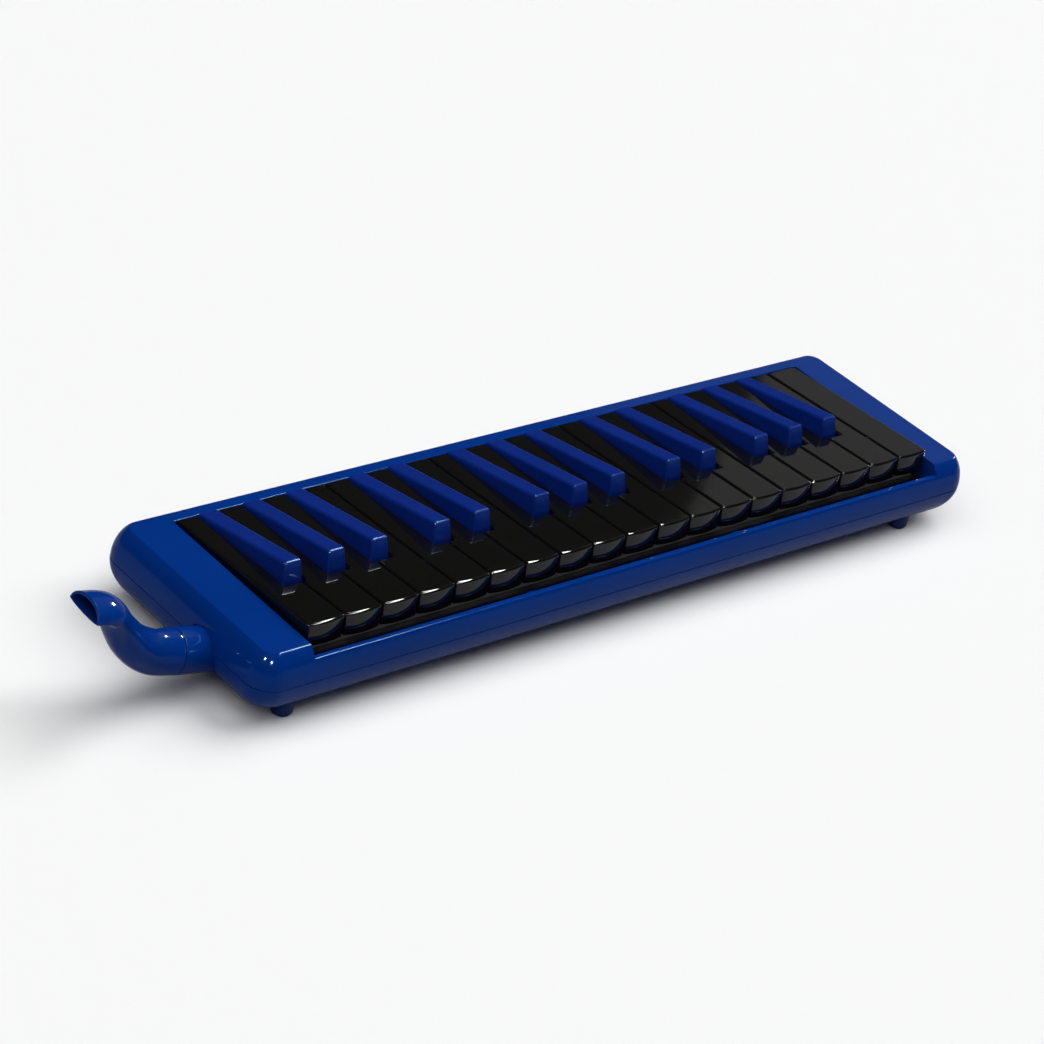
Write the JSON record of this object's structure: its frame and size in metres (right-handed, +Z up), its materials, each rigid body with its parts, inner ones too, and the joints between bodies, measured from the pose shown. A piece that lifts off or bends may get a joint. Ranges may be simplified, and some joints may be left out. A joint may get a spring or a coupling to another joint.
{
  "type": "melodica",
  "caption": "Mouth-blown keyboard instrument with a glossy two-part case, hinged piano keys over reed cells, and a short bent mouthpiece plugged into the left end.",
  "frame": {"origin": "centre of the bounding box's footprint, on the plane that the feet stand on", "axes": "+X along the keyboard towards the high notes, +Y away from the player towards the key hinge, +Z up"},
  "size_m": [0.4886, 0.1124, 0.06],
  "materials": {
    "casing_blue": "glossy moulded plastic",
    "key_black": "polished near-black plastic",
    "sharp_blue": "glossy moulded plastic",
    "foot_navy": "satin moulded plastic",
    "inner_black": "plain moulded plastic",
    "reed_brass": "rolled brass",
    "steel": "plain steel",
    "seal_rubber": "soft rubber",
    "felt": "pressed felt"
  },
  "bodies": {
    "casing": {"upper_casing": "casing_blue", "lower_casing": "casing_blue", "inlet_socket": "casing_blue", "hinge_rod": "steel", "spring_comb": "steel", "valve_plate": "inner_black", "wind_chest": "inner_black", "reed_plate_bass": "reed_brass", "reed_plate_treble": "reed_brass", "chest_gasket": "seal_rubber", "down_stop_felt": "felt", "up_stop_felt": "felt", "drain_spring": "steel", "foot_front_left": "foot_navy", "foot_front_right": "foot_navy", "foot_back_left": "foot_navy", "foot_back_right": "foot_navy", "screw_front_left": "steel", "screw_back_left": "steel", "screw_front_bass": "steel", "screw_front_treble": "steel", "screw_front_right": "steel", "screw_back_right": "steel"},
    "key_F3": {"key_F3": "key_black"},
    "key_Fsharp3": {"key_Fsharp3": "sharp_blue"},
    "key_G3": {"key_G3": "key_black"},
    "key_Gsharp3": {"key_Gsharp3": "sharp_blue"},
    "key_A3": {"key_A3": "key_black"},
    "key_Asharp3": {"key_Asharp3": "sharp_blue"},
    "key_B3": {"key_B3": "key_black"},
    "key_C4": {"key_C4": "key_black"},
    "key_Csharp4": {"key_Csharp4": "sharp_blue"},
    "key_D4": {"key_D4": "key_black"},
    "key_Dsharp4": {"key_Dsharp4": "sharp_blue"},
    "key_E4": {"key_E4": "key_black"},
    "key_F4": {"key_F4": "key_black"},
    "key_Fsharp4": {"key_Fsharp4": "sharp_blue"},
    "key_G4": {"key_G4": "key_black"},
    "key_Gsharp4": {"key_Gsharp4": "sharp_blue"},
    "key_A4": {"key_A4": "key_black"},
    "key_Asharp4": {"key_Asharp4": "sharp_blue"},
    "key_B4": {"key_B4": "key_black"},
    "key_C5": {"key_C5": "key_black"},
    "key_Csharp5": {"key_Csharp5": "sharp_blue"},
    "key_D5": {"key_D5": "key_black"},
    "key_Dsharp5": {"key_Dsharp5": "sharp_blue"},
    "key_E5": {"key_E5": "key_black"},
    "key_F5": {"key_F5": "key_black"},
    "key_Fsharp5": {"key_Fsharp5": "sharp_blue"},
    "key_G5": {"key_G5": "key_black"},
    "key_Gsharp5": {"key_Gsharp5": "sharp_blue"},
    "key_A5": {"key_A5": "key_black"},
    "key_Asharp5": {"key_Asharp5": "sharp_blue"},
    "key_B5": {"key_B5": "key_black"},
    "key_C6": {"key_C6": "key_black"},
    "mouthpiece": {"mouthpiece": "casing_blue"},
    "drain_valve": {"drain_button": "foot_navy", "drain_seal": "seal_rubber"}
  },
  "joints": [
    {"name": "key_F3_press", "type": "hinge", "parent": "casing", "child": "key_F3", "pos_m": [0, 0.04625, 0.0275], "axis": [1, 0, 0], "range_deg": [0, 3], "stiffness_Nm_per_rad": 0.6, "springref_deg": -2.86},
    {"name": "key_Fsharp3_press", "type": "hinge", "parent": "casing", "child": "key_Fsharp3", "pos_m": [0, 0.04625, 0.0275], "axis": [1, 0, 0], "range_deg": [0, 3], "stiffness_Nm_per_rad": 0.6, "springref_deg": -2.86},
    {"name": "key_G3_press", "type": "hinge", "parent": "casing", "child": "key_G3", "pos_m": [0, 0.04625, 0.0275], "axis": [1, 0, 0], "range_deg": [0, 3], "stiffness_Nm_per_rad": 0.6, "springref_deg": -2.86},
    {"name": "key_Gsharp3_press", "type": "hinge", "parent": "casing", "child": "key_Gsharp3", "pos_m": [0, 0.04625, 0.0275], "axis": [1, 0, 0], "range_deg": [0, 3], "stiffness_Nm_per_rad": 0.6, "springref_deg": -2.86},
    {"name": "key_A3_press", "type": "hinge", "parent": "casing", "child": "key_A3", "pos_m": [0, 0.04625, 0.0275], "axis": [1, 0, 0], "range_deg": [0, 3], "stiffness_Nm_per_rad": 0.6, "springref_deg": -2.86},
    {"name": "key_Asharp3_press", "type": "hinge", "parent": "casing", "child": "key_Asharp3", "pos_m": [0, 0.04625, 0.0275], "axis": [1, 0, 0], "range_deg": [0, 3], "stiffness_Nm_per_rad": 0.6, "springref_deg": -2.86},
    {"name": "key_B3_press", "type": "hinge", "parent": "casing", "child": "key_B3", "pos_m": [0, 0.04625, 0.0275], "axis": [1, 0, 0], "range_deg": [0, 3], "stiffness_Nm_per_rad": 0.6, "springref_deg": -2.86},
    {"name": "key_C4_press", "type": "hinge", "parent": "casing", "child": "key_C4", "pos_m": [0, 0.04625, 0.0275], "axis": [1, 0, 0], "range_deg": [0, 3], "stiffness_Nm_per_rad": 0.6, "springref_deg": -2.86},
    {"name": "key_Csharp4_press", "type": "hinge", "parent": "casing", "child": "key_Csharp4", "pos_m": [0, 0.04625, 0.0275], "axis": [1, 0, 0], "range_deg": [0, 3], "stiffness_Nm_per_rad": 0.6, "springref_deg": -2.86},
    {"name": "key_D4_press", "type": "hinge", "parent": "casing", "child": "key_D4", "pos_m": [0, 0.04625, 0.0275], "axis": [1, 0, 0], "range_deg": [0, 3], "stiffness_Nm_per_rad": 0.6, "springref_deg": -2.86},
    {"name": "key_Dsharp4_press", "type": "hinge", "parent": "casing", "child": "key_Dsharp4", "pos_m": [0, 0.04625, 0.0275], "axis": [1, 0, 0], "range_deg": [0, 3], "stiffness_Nm_per_rad": 0.6, "springref_deg": -2.86},
    {"name": "key_E4_press", "type": "hinge", "parent": "casing", "child": "key_E4", "pos_m": [0, 0.04625, 0.0275], "axis": [1, 0, 0], "range_deg": [0, 3], "stiffness_Nm_per_rad": 0.6, "springref_deg": -2.86},
    {"name": "key_F4_press", "type": "hinge", "parent": "casing", "child": "key_F4", "pos_m": [0, 0.04625, 0.0275], "axis": [1, 0, 0], "range_deg": [0, 3], "stiffness_Nm_per_rad": 0.6, "springref_deg": -2.86},
    {"name": "key_Fsharp4_press", "type": "hinge", "parent": "casing", "child": "key_Fsharp4", "pos_m": [0, 0.04625, 0.0275], "axis": [1, 0, 0], "range_deg": [0, 3], "stiffness_Nm_per_rad": 0.6, "springref_deg": -2.86},
    {"name": "key_G4_press", "type": "hinge", "parent": "casing", "child": "key_G4", "pos_m": [0, 0.04625, 0.0275], "axis": [1, 0, 0], "range_deg": [0, 3], "stiffness_Nm_per_rad": 0.6, "springref_deg": -2.86},
    {"name": "key_Gsharp4_press", "type": "hinge", "parent": "casing", "child": "key_Gsharp4", "pos_m": [0, 0.04625, 0.0275], "axis": [1, 0, 0], "range_deg": [0, 3], "stiffness_Nm_per_rad": 0.6, "springref_deg": -2.86},
    {"name": "key_A4_press", "type": "hinge", "parent": "casing", "child": "key_A4", "pos_m": [0, 0.04625, 0.0275], "axis": [1, 0, 0], "range_deg": [0, 3], "stiffness_Nm_per_rad": 0.6, "springref_deg": -2.86},
    {"name": "key_Asharp4_press", "type": "hinge", "parent": "casing", "child": "key_Asharp4", "pos_m": [0, 0.04625, 0.0275], "axis": [1, 0, 0], "range_deg": [0, 3], "stiffness_Nm_per_rad": 0.6, "springref_deg": -2.86},
    {"name": "key_B4_press", "type": "hinge", "parent": "casing", "child": "key_B4", "pos_m": [0, 0.04625, 0.0275], "axis": [1, 0, 0], "range_deg": [0, 3], "stiffness_Nm_per_rad": 0.6, "springref_deg": -2.86},
    {"name": "key_C5_press", "type": "hinge", "parent": "casing", "child": "key_C5", "pos_m": [0, 0.04625, 0.0275], "axis": [1, 0, 0], "range_deg": [0, 3], "stiffness_Nm_per_rad": 0.6, "springref_deg": -2.86},
    {"name": "key_Csharp5_press", "type": "hinge", "parent": "casing", "child": "key_Csharp5", "pos_m": [0, 0.04625, 0.0275], "axis": [1, 0, 0], "range_deg": [0, 3], "stiffness_Nm_per_rad": 0.6, "springref_deg": -2.86},
    {"name": "key_D5_press", "type": "hinge", "parent": "casing", "child": "key_D5", "pos_m": [0, 0.04625, 0.0275], "axis": [1, 0, 0], "range_deg": [0, 3], "stiffness_Nm_per_rad": 0.6, "springref_deg": -2.86},
    {"name": "key_Dsharp5_press", "type": "hinge", "parent": "casing", "child": "key_Dsharp5", "pos_m": [0, 0.04625, 0.0275], "axis": [1, 0, 0], "range_deg": [0, 3], "stiffness_Nm_per_rad": 0.6, "springref_deg": -2.86},
    {"name": "key_E5_press", "type": "hinge", "parent": "casing", "child": "key_E5", "pos_m": [0, 0.04625, 0.0275], "axis": [1, 0, 0], "range_deg": [0, 3], "stiffness_Nm_per_rad": 0.6, "springref_deg": -2.86},
    {"name": "key_F5_press", "type": "hinge", "parent": "casing", "child": "key_F5", "pos_m": [0, 0.04625, 0.0275], "axis": [1, 0, 0], "range_deg": [0, 3], "stiffness_Nm_per_rad": 0.6, "springref_deg": -2.86},
    {"name": "key_Fsharp5_press", "type": "hinge", "parent": "casing", "child": "key_Fsharp5", "pos_m": [0, 0.04625, 0.0275], "axis": [1, 0, 0], "range_deg": [0, 3], "stiffness_Nm_per_rad": 0.6, "springref_deg": -2.86},
    {"name": "key_G5_press", "type": "hinge", "parent": "casing", "child": "key_G5", "pos_m": [0, 0.04625, 0.0275], "axis": [1, 0, 0], "range_deg": [0, 3], "stiffness_Nm_per_rad": 0.6, "springref_deg": -2.86},
    {"name": "key_Gsharp5_press", "type": "hinge", "parent": "casing", "child": "key_Gsharp5", "pos_m": [0, 0.04625, 0.0275], "axis": [1, 0, 0], "range_deg": [0, 3], "stiffness_Nm_per_rad": 0.6, "springref_deg": -2.86},
    {"name": "key_A5_press", "type": "hinge", "parent": "casing", "child": "key_A5", "pos_m": [0, 0.04625, 0.0275], "axis": [1, 0, 0], "range_deg": [0, 3], "stiffness_Nm_per_rad": 0.6, "springref_deg": -2.86},
    {"name": "key_Asharp5_press", "type": "hinge", "parent": "casing", "child": "key_Asharp5", "pos_m": [0, 0.04625, 0.0275], "axis": [1, 0, 0], "range_deg": [0, 3], "stiffness_Nm_per_rad": 0.6, "springref_deg": -2.86},
    {"name": "key_B5_press", "type": "hinge", "parent": "casing", "child": "key_B5", "pos_m": [0, 0.04625, 0.0275], "axis": [1, 0, 0], "range_deg": [0, 3], "stiffness_Nm_per_rad": 0.6, "springref_deg": -2.86},
    {"name": "key_C6_press", "type": "hinge", "parent": "casing", "child": "key_C6", "pos_m": [0, 0.04625, 0.0275], "axis": [1, 0, 0], "range_deg": [0, 3], "stiffness_Nm_per_rad": 0.6, "springref_deg": -2.86},
    {"name": "mouthpiece_pull", "type": "slide", "parent": "casing", "child": "mouthpiece", "axis": [-0.9806, 0, 0.1959], "range_m": [0, 0.02]},
    {"name": "drain_press", "type": "slide", "parent": "casing", "child": "drain_valve", "axis": [-1, 0, 0], "range_m": [0, 0.0015], "stiffness_N_per_m": 400, "springref_m": -0.002}
  ]
}
